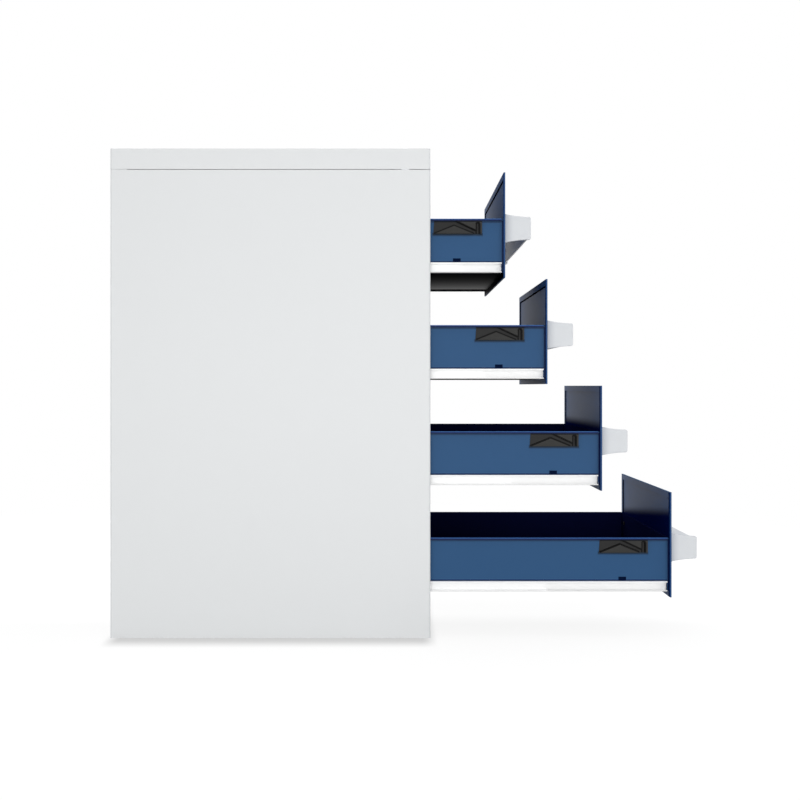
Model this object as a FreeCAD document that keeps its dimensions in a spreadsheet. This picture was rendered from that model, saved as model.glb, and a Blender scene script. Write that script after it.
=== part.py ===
import FreeCAD, Part
import math
import os

import Sketcher

# Free-standing steel cabinet for microscope slides: a folded sheet body with a loose cover, four
# drawers on three-member runners, a bar grip on each front, and one bar lock for all four drawers.
# Millimetres. X is the width, the fronts face -Y, Z is up. The origin lies on the floor, in the
# middle of the body's footprint. The drawers stand open by different amounts.

SIZES = [
    ("width", 450, "body, outside"),
    ("depth", 600, "body, outside, without the fronts"),
    ("height", 918, "floor to the top of the cover"),
    ("cover_height", 39, "top cover, outside"),
    ("cover_gap", 1.0, "shadow gap between the cover and the side panels"),
    ("cover_lip", 16, "in-turned lip of the cover that rests on the top rails"),
    ("sheet", 1.0, "steel sheet of the body"),
    ("bend", 1.5, "outside radius of the body's bends"),
    ("fit", 0.2, "gap between body parts that slide into each other when assembled"),
    ("stile", 5.0, "front flange of a side panel"),
    ("stile_return", 10, "return of that flange, towards the back"),
    ("rear_flange", 15, "rear flange of a side panel"),
    ("rail_height", 28, "top rails"),
    ("rail_depth", 18, "top rails"),
    ("panel_flange", 12, "flanges of the back panel and the plinth"),
    ("plinth_height", 73, "board below the lowest front"),
    ("pan_flange", 40, "upturned flanges of the base pan"),
    ("foot_radius", 14, "pad of a levelling foot"),
    ("foot_pad", 5, "thickness of that pad"),
    ("foot_stud", 4, "radius of its stud"),
    ("foot_nut", 8, "radius across the corners of its nut"),
    ("foot_nut_thick", 6, "nut on the foot's bridge"),
    ("bridge_play", 0.6, "foot bridge past the pad on each side"),
    ("foot_rise", 30, "height of the stud"),
    ("foot_inset", 60, "foot centre from the sides and the back of the body"),
    ("post_sheet", 1.0, "rail post"),
    ("post_web", 18, "rail post, the face that carries the rails"),
    ("post_foot", 4, "rail post, each flange on the side panel"),
    ("post_proud", 4, "rail post, from the side panel to its face"),
    ("post_low", 45, "bottom of the posts above the floor"),
    ("post_drop", 20, "top of the posts below the cover"),
    ("front_post", 20, "middle of the front post behind the body's front edge"),
    ("rear_post", 65, "middle of the rear post ahead of the body's back"),
    ("lowest_front", 76, "bottom of the lowest front above the floor"),
    ("front_reveal", 3, "gap between one closed front and the next"),
    ("top_reveal", 6, "gap between the top front and the cover"),
    ("front_thick", 3.0, "drawer front over its folded edge"),
    ("front_sheet", 1.0, "steel sheet of a front"),
    ("front_lip", 11.5, "lip folded back round the edge of a front"),
    ("front_gap", 1.0, "closed front to the body's front edge"),
    ("boss_radius", 6, "spacer welded inside a front round a screw"),
    ("open_first", 136.4, "top drawer stands open by this"),
    ("open_second", 215.6, "second drawer"),
    ("open_third", 318.0, "third drawer"),
    ("open_fourth", 448.2, "bottom drawer"),
    ("tray_sheet", 1.0, "steel sheet of a tray"),
    ("tray_rise", 10, "underside of a tray above the bottom of its front"),
    ("tray_height", 101, "tray side, from its underside to its rim"),
    ("tray_length", 567, "tray behind its front wall"),
    ("tray_front", 3.0, "hemmed front wall of a tray"),
    ("weld_gap", 0.1, "between the sheets of a tray, bridged by the welds"),
    ("tray_front_inset", 11, "edge of that wall from the side of the body"),
    ("rim_inset", 6.3, "outer face of the rolled rim from the side of the body"),
    ("rim_lip", 3.7, "downturned lip of the rim"),
    ("wall_inset", 11.5, "outer face of the tray side from the side of the body"),
    ("rear_drop", 8, "rear wall of a tray below its rim"),
    ("notch_back", 83, "notch in the tray side behind the front's face"),
    ("notch_length", 14.5, "notch"),
    ("notch_height", 7, "notch"),
    ("divider_sheet", 1.2, "lane divider"),
    ("divider_height", 28, "lane divider"),
    ("divider_gap", 0.3, "divider end to the tray's front and rear walls"),
    ("lanes", 5, "rows of slides side by side in a drawer"),
    ("runner_sheet", 1.2, "steel of the runner members"),
    ("runner_gap", 0.6, "between nested runner members, for the balls"),
    ("runner_height", 18.8, "outermost member, on the tray"),
    ("runner_length", 560, "each runner member"),
    ("runner_start", 6.1, "front end of a tray's member behind the front's face"),
    ("runner_offset", 3.0, "front end of a body's member behind the body's front edge"),
    ("body_flange", 6.4, "flanges of the member on the posts"),
    ("ball_room", 2.4, "middle member's web past the open edge of the body's member"),
    ("middle_edge", 8.4, "open edge of the middle member from the side of the body"),
    ("tray_edge", 7.0, "open edge of the tray's member from the side of the body"),
    ("runner_lip", 1.0, "lip that keeps the balls in the tray's member"),
    ("cam_front", 43, "front end of the cam plate behind the front's face"),
    ("cam_length", 91.5, "cam plate"),
    ("cam_height", 24, "cam plate"),
    ("cam_drop", 3.9, "cam plate below the rim"),
    ("cam_thick", 5.0, "cam plate"),
    ("cam_track", 3.8, "depth of the track in the cam plate"),
    ("cam_round", 1.5, "rounding of the cam plate's front corners"),
    ("cam_border", 5.1, "cam plate ahead of its slot"),
    ("cam_slot", 5.7, "width of the slot that holds the lock pin"),
    ("cam_slot_top", 3.0, "top of the slot below the plate's top"),
    ("cam_slant", 1.6, "slant of the cam plate's rear end"),
    ("ramp_foot", 1.8, "rear foot of the ramp from the plate's rear end"),
    ("ramp_base", 1.0, "strip below the ramp"),
    ("ramp_peak", 39, "peak of the ramp from the plate's rear end"),
    ("ramp_peak_drop", 8, "peak of the ramp below the plate's top"),
    ("ramp_round", 3.0, "rounding of the ramp's peak"),
    ("guide_start", 43, "upper guide from the plate's rear end"),
    ("guide_drop", 17.6, "lowest point of the upper guide below the plate's top"),
    ("guide_nose", 2.0, "width of the upper guide at that point"),
    ("pin_radius", 2.2, "lock pin"),
    ("pin_collar", 4.0, "radius of the pin's collar"),
    ("pin_reach", 8.2, "tip of the pin from the side of the body"),
    ("pin_locked", 13.5, "middle of a raised pin below the plate's top"),
    ("pin_clear", 0.8, "lowered pin below the cam plate"),
    ("bar_thick", 2.0, "lock bar"),
    ("bar_width", 14, "lock bar"),
    ("bar_inset", 1.6, "lock bar from the side of the body"),
    ("bar_tail", 16, "lock bar below the lowest pin"),
    ("bar_play", 0.4, "between the lock bar and its guides"),
    ("guide_tall", 15, "lock bar guide"),
    ("guide_foot", 5, "lock bar guide, each foot"),
    ("guide_rise", 95, "lock bar guides above the pins"),
    ("lock_inset", 40, "key plug from the side of the body"),
    ("lock_drop", 19.5, "key plug below the top of the cover"),
    ("lock_radius", 9, "lock housing"),
    ("lock_length", 32, "lock housing"),
    ("lock_nut", 13, "radius of the nut behind the cover"),
    ("lock_nut_thick", 4, "that nut"),
    ("plug_radius", 6, "bore of the housing"),
    ("plug_head", 7.2, "radius of the plug's head"),
    ("plug_head_deep", 2.5, "thickness of that head"),
    ("plug_play", 0.05, "running gap round the plug"),
    ("plug_set_back", 0.3, "plug's face behind the housing's face"),
    ("keyway_width", 1.4, "slot for the key"),
    ("keyway_tall", 8, "slot for the key"),
    ("keyway_deep", 8, "slot for the key"),
    ("crank_thick", 2.5, "crank on the plug"),
    ("crank_width", 9, "crank on the plug"),
    ("crank_pin", 2.0, "radius of the crank's pin"),
    ("crank_play", 0.5, "between that pin and its slot"),
    ("crank_gap", 0.6, "between the crank and the lock bar's foot"),
    ("bar_foot_tall", 13, "foot of the lock bar"),
    ("bar_foot_end", 5, "foot of the lock bar past its slot"),
    ("grip_middle", 93, "middle of the grip above the bottom of the front"),
    ("grip_inset", 6, "end of the grip from the side of the front"),
    ("cap_thick", 6, "end cap of the grip"),
    ("cap_reach", 49, "end cap in front of the drawer front"),
    ("cap_root", 54, "height of the cap at the front"),
    ("cap_nose", 42.5, "height of the cap at its nose"),
    ("cap_hollow", 220, "radius of the cap's hollow upper and lower edges"),
    ("cap_round", 2.5, "rounding of the nose"),
    ("cap_proud", 3.5, "cap proud of the grip, all round"),
    ("grip_wall", 2.5, "wall of the grip"),
    ("grip_fillet", 3.0, "inside corner between the grip's nose and its top"),
    ("tongue_length", 12, "tongue of the cap inside the grip"),
    ("tongue_play", 0.3, "gap round that tongue"),
    ("screw_radius", 2.0, "shank of the screws"),
    ("screw_play", 0.1, "gap round the shank"),
    ("screw_head", 4.0, "radius of their heads"),
    ("screw_head_thick", 1.8, "their heads"),
    ("screw_inset", 45, "front screws from the side of the body"),
    ("screw_low", 15, "lower front screws above the tray's underside"),
    ("screw_high", 80, "upper front screws above the tray's underside"),
    ("grip_screw_inset", 75, "grip screws from the side of the body"),
    ("cover_screw_inset", 70, "cover screws from the sides of the body"),
    ("cover_screw_length", 8, "cover screws, above the top front rail"),
]


class Size:
    """A length from the sheet, or a formula of such lengths, with the text that binds it."""

    def __init__(self, value, text):
        self.value = float(value)
        self.text = text

    def __add__(self, other):
        other = as_size(other)
        return Size(self.value + other.value, f"({self.text} + {other.text})")

    def __sub__(self, other):
        other = as_size(other)
        return Size(self.value - other.value, f"({self.text} - {other.text})")

    def __mul__(self, other):
        other = as_size(other)
        return Size(self.value * other.value, f"({self.text} * {other.text})")

    def __truediv__(self, other):
        other = as_size(other)
        return Size(self.value / other.value, f"({self.text} / {other.text})")

    def __neg__(self):
        return Size(-self.value, f"(0 - {self.text})")

    def __radd__(self, other):
        return as_size(other) + self

    def __rsub__(self, other):
        return as_size(other) - self

    def __rmul__(self, other):
        return as_size(other) * self


def as_size(number):
    return number if isinstance(number, Size) else Size(number, f"{float(number)!r}")


doc = FreeCAD.newDocument("slide_cabinet")
sheet = doc.addObject("Spreadsheet::Sheet", "Sizes")


class Sizes:
    """The sheet's cells by name."""


s = Sizes()
for row, (alias, amount, meaning) in enumerate(SIZES, start=1):
    sheet.set(f"A{row}", alias)
    sheet.set(f"B{row}", str(amount))
    sheet.setAlias(f"B{row}", alias)
    sheet.set(f"C{row}", meaning)
    setattr(s, alias, Size(amount, f"Sizes.{alias}"))
doc.recompute()

SIZES_BY_NAME = {alias: amount for alias, amount, meaning in SIZES}
nodes = []
HALF_TURN = 1.0005  # an arc that ends a slot: its radius is this many times half the slot's width


def bind(thing, path, size):
    """Tie one property of an object to the sheet."""
    thing.setExpression(path, as_size(size).text)


def new_body(label, x=0, y=0, z=0):
    """Start the body of one node, standing at x, y, z."""
    body = doc.addObject("PartDesign::Body", label)
    body.Label = label
    body.AllowCompound = True
    for letter, amount in (("x", x), ("y", y), ("z", z)):
        bind(body, f"Placement.Base.{letter}", amount)
    nodes.append(body)
    return body


def new_sketch(body, plane, offset=0):
    """Put an empty sketch on one of the body's own origin planes, moved along its normal."""
    sketch = body.newObject("Sketcher::SketchObject", "Sketch")
    face = [part for part in body.Origin.OriginFeatures if part.Role == f"{plane}_Plane"][0]
    sketch.AttachmentSupport = [(face, "")]
    sketch.MapMode = "FlatFace"
    bind(sketch, "AttachmentOffset.Base.z", offset)
    return sketch


def hold(sketch, geometry, end, u, v):
    """Hold one point of a sketch at u, v."""
    for kind, axis, amount in (("DistanceX", -2, as_size(u)), ("DistanceY", -1, as_size(v))):
        if amount.value == 0:
            sketch.addConstraint(Sketcher.Constraint("PointOnObject", geometry, end, axis))
        else:
            index = sketch.addConstraint(Sketcher.Constraint(kind, geometry, end, amount.value))
            bind(sketch, f"Constraints[{index}]", amount)


def arc_between(start, end, radius):
    """Arc from start to end, shorter than half a turn, with its middle left of the way if radius > 0."""
    chord = end - start
    half = chord.Length / 2
    middle = (start + end) * 0.5
    left = FreeCAD.Vector(-chord.y, chord.x, 0).normalize()
    centre = middle + left * math.copysign(math.sqrt(radius * radius - half * half), radius)
    first = math.atan2(start.y - centre.y, start.x - centre.x)
    last = math.atan2(end.y - centre.y, end.x - centre.x)
    circle = Part.Circle(centre, FreeCAD.Vector(0, 0, 1), abs(radius))
    if radius > 0:
        return Part.ArcOfCircle(circle, first, last)
    return Part.ArcOfCircle(circle, last, first)


def outline(sketch, corners):
    """Draw a closed outline. A corner is (u, v), or (u, v, radius) where an arc follows it."""
    spots = [FreeCAD.Vector(as_size(c[0]).value, as_size(c[1]).value, 0) for c in corners]
    ids = []
    ends = []
    for number, corner in enumerate(corners):
        start = spots[number]
        end = spots[(number + 1) % len(spots)]
        if len(corner) == 2:
            ids.append(sketch.addGeometry(Part.LineSegment(start, end)))
            ends.append((1, 2))
        else:
            radius = as_size(corner[2])
            ids.append(sketch.addGeometry(arc_between(start, end, radius.value)))
            ends.append((1, 2) if radius.value > 0 else (2, 1))
    for number, corner in enumerate(corners):
        after = (number + 1) % len(corners)
        joint = (ids[number], ends[number][1], ids[after], ends[after][0])
        sketch.addConstraint(Sketcher.Constraint("Coincident", *joint))
        hold(sketch, ids[number], ends[number][0], corner[0], corner[1])
        if len(corner) == 3:
            radius = as_size(corner[2])
            swing = Sketcher.Constraint("Radius", ids[number], abs(radius.value))
            index = sketch.addConstraint(swing)
            bind(sketch, f"Constraints[{index}]", radius if radius.value > 0 else -radius)


def rectangle(sketch, left, right, low, high):
    outline(sketch, [(left, low), (right, low), (right, high), (left, high)])


def circle(sketch, u, v, radius):
    radius = as_size(radius)
    spot = FreeCAD.Vector(as_size(u).value, as_size(v).value, 0)
    number = sketch.addGeometry(Part.Circle(spot, FreeCAD.Vector(0, 0, 1), radius.value))
    hold(sketch, number, 3, u, v)
    index = sketch.addConstraint(Sketcher.Constraint("Radius", number, radius.value))
    bind(sketch, f"Constraints[{index}]", radius)


def mirrored(corners):
    """The same outline on the other side of the sheet's vertical axis."""
    other = []
    for corner in reversed(corners):
        other.append((-as_size(corner[0]), corner[1]))
    return other


def pad(body, sketch, length, back=False):
    """Raise a sketch along its normal, or against it."""
    feature = body.newObject("PartDesign::Pad", "Pad")
    feature.Profile = sketch
    feature.Reversed = back
    bind(feature, "Length", length)
    sketch.Visibility = False
    return feature


def pocket(body, sketch, length, back=False):
    """Cut a sketch out of the body, against the sketch's normal, or along it if back."""
    feature = body.newObject("PartDesign::Pocket", "Pocket")
    feature.Profile = sketch
    feature.Reversed = back
    bind(feature, "Length", length)
    return feature


def revolve(body, sketch):
    """Turn a sketch once round its own horizontal axis."""
    feature = body.newObject("PartDesign::Revolution", "Revolution")
    feature.Profile = sketch
    feature.ReferenceAxis = (sketch, ["H_Axis"])
    feature.Angle = 360
    return feature


def round_edges(body, radius, wanted):
    """Round the straight edges that pass the test, which is given their middle and direction."""
    doc.recompute()
    base = body.Tip
    names = []
    for number, edge in enumerate(base.Shape.Edges, start=1):
        if isinstance(edge.Curve, Part.Line) and wanted(edge.CenterOfMass, edge.tangentAt(0)):
            names.append(f"Edge{number}")
    feature = body.newObject("PartDesign::Fillet", "Fillet")
    feature.Base = (base, names)
    bind(feature, "Radius", radius)
    return feature


def near(amount, size):
    return abs(abs(amount) - as_size(size).value) < 0.01


def at_corner(middle, direction):
    """An upright edge at one of the four outer corners of the body."""
    return near(middle.x, half) and near(middle.y, back_edge) and near(direction.z, 1)


# Places that several parts share, all from the side of the body (X) or its front edge (Y).
half = s.width / 2
front_edge = -(s.depth / 2)
back_edge = s.depth / 2
body_top = s.height - s.cover_height
post_face = s.sheet + s.post_proud
closed_face = front_edge - s.front_gap - s.front_thick
rim_top = s.tray_rise + s.tray_height
runner_middle = s.tray_rise + s.runner_height / 2
ledge = s.tray_rise + s.runner_height + s.fit
openings = [s.open_first, s.open_second, s.open_third, s.open_fourth]
pitch = (body_top - s.top_reveal + s.front_reveal - s.lowest_front) / len(openings)
front_height = pitch - s.front_reveal


def drawer_floor(number):
    """Bottom of a drawer's front. The drawers are numbered from the top."""
    return s.lowest_front + pitch * (len(openings) - number)


# ---- side panels: one folded sheet each, with a front stile and a rear flange -------------------

for side in ("left", "right"):
    body = new_body(f"side_panel_{side}")
    sketch = new_sketch(body, "XY")
    corners = [
        (-half, front_edge),
        (-half + s.stile, front_edge),
        (-half + s.stile, front_edge + s.stile_return),
        (-half + s.stile - s.sheet, front_edge + s.stile_return),
        (-half + s.stile - s.sheet, front_edge + s.sheet),
        (-half + s.sheet, front_edge + s.sheet),
        (-half + s.sheet, back_edge - s.sheet),
        (-half + s.rear_flange, back_edge - s.sheet),
        (-half + s.rear_flange, back_edge),
        (-half, back_edge),
    ]
    outline(sketch, corners if side == "left" else mirrored(corners))
    pad(body, sketch, body_top - s.cover_gap)
    round_edges(body, s.bend, at_corner)

# ---- back panel: a sheet in front of the rear flanges, flanged at top and bottom ----------------

body = new_body("back_panel")
sketch = new_sketch(body, "YZ", -half + s.sheet + s.fit)
outline(
    sketch,
    [
        (back_edge - s.sheet, 0),
        (back_edge - s.sheet, body_top),
        (back_edge - s.sheet - s.panel_flange, body_top),
        (back_edge - s.sheet - s.panel_flange, body_top - s.sheet),
        (back_edge - 2 * s.sheet, body_top - s.sheet),
        (back_edge - 2 * s.sheet, s.sheet),
        (back_edge - s.sheet - s.panel_flange, s.sheet),
        (back_edge - s.sheet - s.panel_flange, 0),
    ],
)
pad(body, sketch, s.width - 2 * (s.sheet + s.fit))

# ---- base pan: it stands on the floor between the side panels, with a hole for each foot --------

pan_side = half - s.sheet - s.fit
pan_front = front_edge + s.panel_flange + s.fit
pan_back = back_edge - s.sheet - s.panel_flange - s.fit
foot_x = half - s.foot_inset
foot_back = back_edge - s.foot_inset
foot_front = front_edge + s.foot_inset
body = new_body("base_pan")
sketch = new_sketch(body, "XZ", -pan_back)
outline(
    sketch,
    [
        (-pan_side, 0),
        (pan_side, 0),
        (pan_side, s.pan_flange),
        (pan_side - s.sheet, s.pan_flange),
        (pan_side - s.sheet, s.sheet),
        (-pan_side + s.sheet, s.sheet),
        (-pan_side + s.sheet, s.pan_flange),
        (-pan_side, s.pan_flange),
    ],
)
pad(body, sketch, pan_back - pan_front)
sketch = new_sketch(body, "XY")
for foot_y in (foot_front, foot_back):
    for x in (-foot_x, foot_x):
        circle(sketch, x, foot_y, s.foot_radius + s.fit)
pocket(body, sketch, s.sheet, back=True)

# ---- bridges over the foot holes that hold the threaded feet ------------------------------------

body = new_body("foot_bridges")
bridge = s.foot_radius + s.bridge_play
sketch = new_sketch(body, "XY", s.sheet)
for foot_y in (foot_front, foot_back):
    for x in (-foot_x, foot_x):
        reach = s.foot_radius + s.foot_nut
        rectangle(sketch, x - reach, x + reach, foot_y - bridge, foot_y + bridge)
pad(body, sketch, s.foot_pad + s.sheet)
sketch = new_sketch(body, "XY", s.sheet)
for foot_y in (foot_front, foot_back):
    for x in (-foot_x, foot_x):
        rectangle(sketch, x - bridge, x + bridge, foot_y - 2 * bridge, foot_y + 2 * bridge)
pocket(body, sketch, s.foot_pad, back=True)
sketch = new_sketch(body, "XY", s.sheet)
for foot_y in (foot_front, foot_back):
    for x in (-foot_x, foot_x):
        circle(sketch, x, foot_y, s.foot_stud + s.screw_play)
pocket(body, sketch, s.foot_pad + s.sheet, back=True)

# ---- levelling feet: pad, stud and nut, screwed fully in, level with the base pan ---------------

body = new_body("levelling_feet")
for radius, low, thick in (
    (s.foot_radius, 0, s.foot_pad),
    (s.foot_stud, s.foot_pad, s.foot_rise - s.foot_pad),
    (s.foot_nut, s.foot_pad + 2 * s.sheet, s.foot_nut_thick),
):
    sketch = new_sketch(body, "XY", low)
    for foot_y in (foot_front, foot_back):
        for x in (-foot_x, foot_x):
            circle(sketch, x, foot_y, radius)
    pad(body, sketch, thick)

# ---- plinth and top rails: channels between the side panels -------------------------------------

stile_side = half - s.stile - s.fit


def channel(label, web, flanges, low, high, reach):
    """Channel across the body: its web in the plane Y = web, its flanges run to Y = flanges."""
    body = new_body(label)
    sketch = new_sketch(body, "YZ", -reach)
    towards = s.sheet if flanges.value > web.value else -s.sheet
    outline(
        sketch,
        [
            (web, low),
            (flanges, low),
            (flanges, low + s.sheet),
            (web + towards, low + s.sheet),
            (web + towards, high - s.sheet),
            (flanges, high - s.sheet),
            (flanges, high),
            (web, high),
        ],
    )
    pad(body, sketch, 2 * reach)
    return body


channel("plinth", front_edge, front_edge + s.panel_flange, as_size(0), s.plinth_height, stile_side)
rail_low = body_top - s.rail_height
rail = channel(
    "top_front_rail", front_edge, front_edge + s.rail_depth, rail_low, body_top, stile_side
)
cover_screws_x = (-half + s.cover_screw_inset, half - s.cover_screw_inset)
cover_screws_y = front_edge + s.cover_lip / 2
sketch = new_sketch(rail, "XY", body_top - s.sheet)
for x in cover_screws_x:
    circle(sketch, x, cover_screws_y, s.screw_radius + s.screw_play)
pocket(rail, sketch, s.sheet, back=True)
rear_rail = back_edge - s.sheet - s.panel_flange - s.fit
channel("top_rear_rail", rear_rail, rear_rail - s.rail_depth, rail_low, body_top, pan_side)

# ---- top cover: a folded pan with a lip at the front and at the back, and the hole for the lock -

lock_x = -half + s.lock_inset
lock_z = s.height - s.lock_drop
body = new_body("top_cover")
sketch = new_sketch(body, "XY", body_top)
rectangle(sketch, -half, half, front_edge, back_edge)
pad(body, sketch, s.cover_height)
round_edges(body, s.bend, lambda spot, way: near(spot.z, s.height) or at_corner(spot, way))
sketch = new_sketch(body, "XY", body_top)
rectangle(
    sketch,
    -half + s.sheet,
    half - s.sheet,
    front_edge + s.cover_lip,
    back_edge - s.cover_lip,
)
pocket(body, sketch, s.cover_height - s.sheet, back=True)
sketch = new_sketch(body, "XY", body_top + s.sheet)
rectangle(sketch, -half + s.sheet, half - s.sheet, front_edge + s.sheet, back_edge - s.sheet)
pocket(body, sketch, s.cover_height - 2 * s.sheet, back=True)
sketch = new_sketch(body, "XZ", -front_edge)
circle(sketch, lock_x, lock_z, s.lock_radius + s.screw_play)
pocket(body, sketch, s.sheet)
sketch = new_sketch(body, "XY", body_top)
for x in cover_screws_x:
    circle(sketch, x, cover_screws_y, s.screw_radius + s.screw_play)
pocket(body, sketch, s.sheet, back=True)

# ---- screws that hold the cover's front lip down on the top front rail --------------------------

body = new_body("cover_screws")
screw_seat = body_top - s.sheet
for radius, low, high in (
    (s.screw_head, screw_seat - s.screw_head_thick, screw_seat),
    (s.screw_radius, screw_seat, body_top + s.cover_screw_length),
):
    sketch = new_sketch(body, "XY", low)
    for x in cover_screws_x:
        circle(sketch, x, cover_screws_y, radius)
    pad(body, sketch, high - low)

# ---- rail posts: hat sections welded upright to the side panels, two on each side ---------------

post_middles = [front_edge + s.front_post, back_edge - s.rear_post]


def hat(middle, web, foot, deep, thick):
    """Plan of a hat section on the left side panel, its feet against the panel."""
    base = -half + s.sheet
    inner = web / 2 - thick
    return [
        (base, middle - web / 2 - foot),
        (base + thick, middle - web / 2 - foot),
        (base + thick, middle - web / 2),
        (base + deep, middle - web / 2),
        (base + deep, middle + web / 2),
        (base + thick, middle + web / 2),
        (base + thick, middle + web / 2 + foot),
        (base, middle + web / 2 + foot),
        (base, middle + inner),
        (base + deep - thick, middle + inner),
        (base + deep - thick, middle - inner),
        (base, middle - inner),
    ]


for side in ("left", "right"):
    body = new_body(f"rail_posts_{side}")
    sketch = new_sketch(body, "XY", s.post_low)
    for middle in post_middles:
        corners = hat(middle, s.post_web, s.post_foot, s.post_proud, s.post_sheet)
        outline(sketch, corners if side == "left" else mirrored(corners))
    pad(body, sketch, body_top - s.post_drop - s.post_low)

# ---- runners: three nested channels, all of them open towards the side of the body but the ------
# ---- innermost, which is screwed to the posts and opens towards the tray ------------------------

middle_height = s.runner_height - 2 * (s.runner_sheet + s.runner_gap)
inner_height = middle_height - 2 * (s.runner_sheet + s.runner_gap)
inner_edge = post_face + s.runner_sheet + s.body_flange
middle_web = inner_edge + s.ball_room
tray_web = middle_web + s.runner_sheet + s.runner_gap
tray_side = tray_web + s.runner_sheet


def trough(web, edge, high, thick):
    """Section of a channel about the runner's middle: web's outer face at web, open edge at edge."""
    towards = thick if edge.value > web.value else -thick
    top = high / 2
    return [
        (-half + web, runner_middle - top),
        (-half + edge, runner_middle - top),
        (-half + edge, runner_middle - top + thick),
        (-half + web + towards, runner_middle - top + thick),
        (-half + web + towards, runner_middle + top - thick),
        (-half + edge, runner_middle + top - thick),
        (-half + edge, runner_middle + top),
        (-half + web, runner_middle + top),
    ]


def runner_pair(label, corners, start, z):
    """One member on each side of the drawer, running back from Y = start."""
    body = new_body(label, 0, start, z)
    sketch = new_sketch(body, "XZ")
    outline(sketch, corners)
    outline(sketch, mirrored(corners))
    pad(body, sketch, s.runner_length, back=True)
    return body


for number, opening in enumerate(openings, start=1):
    runner_pair(
        f"body_runners_{number}",
        trough(post_face, inner_edge, inner_height, s.runner_sheet),
        front_edge + s.runner_offset,
        drawer_floor(number),
    )
    runner_pair(
        f"middle_runners_{number}",
        trough(middle_web + s.runner_sheet, s.middle_edge, middle_height, s.runner_sheet),
        front_edge + s.runner_offset - opening / 2,
        drawer_floor(number),
    )

# ---- lock: housing and plug in the front of the cover, a crank on the plug, and a bar that it ---
# ---- lifts, with one pin for each drawer --------------------------------------------------------

cam_top = rim_top - s.cam_drop
pin_travel = s.cam_height + s.pin_clear + s.pin_radius - s.pin_locked
pin_z = cam_top - s.pin_locked - pin_travel
crank_radius = pin_travel / math.sqrt(2)
crank_side = pin_travel / 2
bar_y = closed_face + s.cam_front + s.cam_border + s.cam_slot / 2
bar_front = bar_y - s.bar_width / 2
bar_back = bar_y + s.bar_width / 2
pin_x = lock_x - crank_side
pin_out = lock_x - crank_radius
foot_middle = lock_z - crank_side
crank_back = bar_front - s.crank_gap
bar_face = s.bar_inset + s.bar_thick

body = new_body("lock_housing", lock_x, 0, lock_z)
sketch = new_sketch(body, "YZ")
outline(
    sketch,
    [
        (front_edge, s.plug_head + s.plug_play),
        (front_edge, s.lock_radius),
        (front_edge + s.sheet, s.lock_radius),
        (front_edge + s.sheet, s.lock_nut),
        (front_edge + s.sheet + s.lock_nut_thick, s.lock_nut),
        (front_edge + s.sheet + s.lock_nut_thick, s.lock_radius),
        (front_edge + s.lock_length, s.lock_radius),
        (front_edge + s.lock_length, s.plug_radius),
        (front_edge + s.plug_head_deep + s.plug_set_back, s.plug_radius),
        (front_edge + s.plug_head_deep + s.plug_set_back, s.plug_head + s.plug_play),
    ],
)
revolve(body, sketch)

body = new_body("lock_plug", lock_x, 0, lock_z)
sketch = new_sketch(body, "YZ")
plug_face = front_edge + s.plug_set_back
outline(
    sketch,
    [
        (plug_face, 0),
        (plug_face, s.plug_head),
        (plug_face + s.plug_head_deep, s.plug_head),
        (plug_face + s.plug_head_deep, s.plug_radius - s.plug_play),
        (crank_back - s.crank_thick, s.plug_radius - s.plug_play),
        (crank_back - s.crank_thick, 0),
    ],
)
revolve(body, sketch)
sketch = new_sketch(body, "XZ", -crank_back)
arm = s.crank_width / 2
slant = arm / math.sqrt(2)
outline(
    sketch,
    [
        (slant, -slant, arm * HALF_TURN),
        (-slant, slant),
        (-crank_side - slant, -crank_side + slant, arm * HALF_TURN),
        (-crank_side + slant, -crank_side - slant),
    ],
)
pad(body, sketch, s.crank_thick)
sketch = new_sketch(body, "XZ", -(bar_front + s.bar_thick + s.crank_gap))
circle(sketch, -crank_side, -crank_side, s.crank_pin)
pad(body, sketch, s.bar_thick + 2 * s.crank_gap)
sketch = new_sketch(body, "XZ", -plug_face)
rectangle(
    sketch,
    -(s.keyway_width / 2),
    s.keyway_width / 2,
    -(s.keyway_tall / 2),
    s.keyway_tall / 2,
)
pocket(body, sketch, s.keyway_deep)

body = new_body("lock_bar")
lowest_pin = drawer_floor(len(openings)) + pin_z
bar_top = foot_middle + s.bar_foot_tall / 2
sketch = new_sketch(body, "YZ", -half + s.bar_inset)
rectangle(sketch, bar_front, bar_back, lowest_pin - s.bar_tail, bar_top)
pad(body, sketch, s.bar_thick)
sketch = new_sketch(body, "XZ", -(bar_front + s.bar_thick))
slot_end = pin_x + s.crank_pin + s.crank_play
rectangle(
    sketch,
    -half + s.bar_inset,
    slot_end + s.bar_foot_end,
    foot_middle - s.bar_foot_tall / 2,
    bar_top,
)
pad(body, sketch, s.bar_thick)
sketch = new_sketch(body, "XZ", -bar_front)
rectangle(
    sketch,
    pin_out - s.crank_pin - s.crank_play,
    slot_end,
    foot_middle - s.crank_pin - s.crank_play,
    foot_middle + s.crank_pin + s.crank_play,
)
pocket(body, sketch, s.bar_thick)

body = new_body("lock_pins")
for radius, start, end in (
    (s.pin_collar, bar_face, bar_face + s.sheet),
    (s.pin_radius, bar_face + s.sheet, s.pin_reach),
):
    sketch = new_sketch(body, "YZ", -half + start)
    for number in range(1, len(openings) + 1):
        circle(sketch, bar_y, drawer_floor(number) + pin_z, radius)
    pad(body, sketch, end - start)

body = new_body("lock_bar_guides")
strap = s.bar_width + 2 * (s.bar_play + s.sheet)
for number in range(1, len(openings) + 1):
    sketch = new_sketch(body, "XY", drawer_floor(number) + pin_z + s.guide_rise)
    outline(sketch, hat(bar_y, strap, s.guide_foot, bar_face + s.bar_play, s.sheet))
    pad(body, sketch, s.guide_tall)

# ---- drawers: each one is built standing at its own opening, from its front's face and bottom ---

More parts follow.
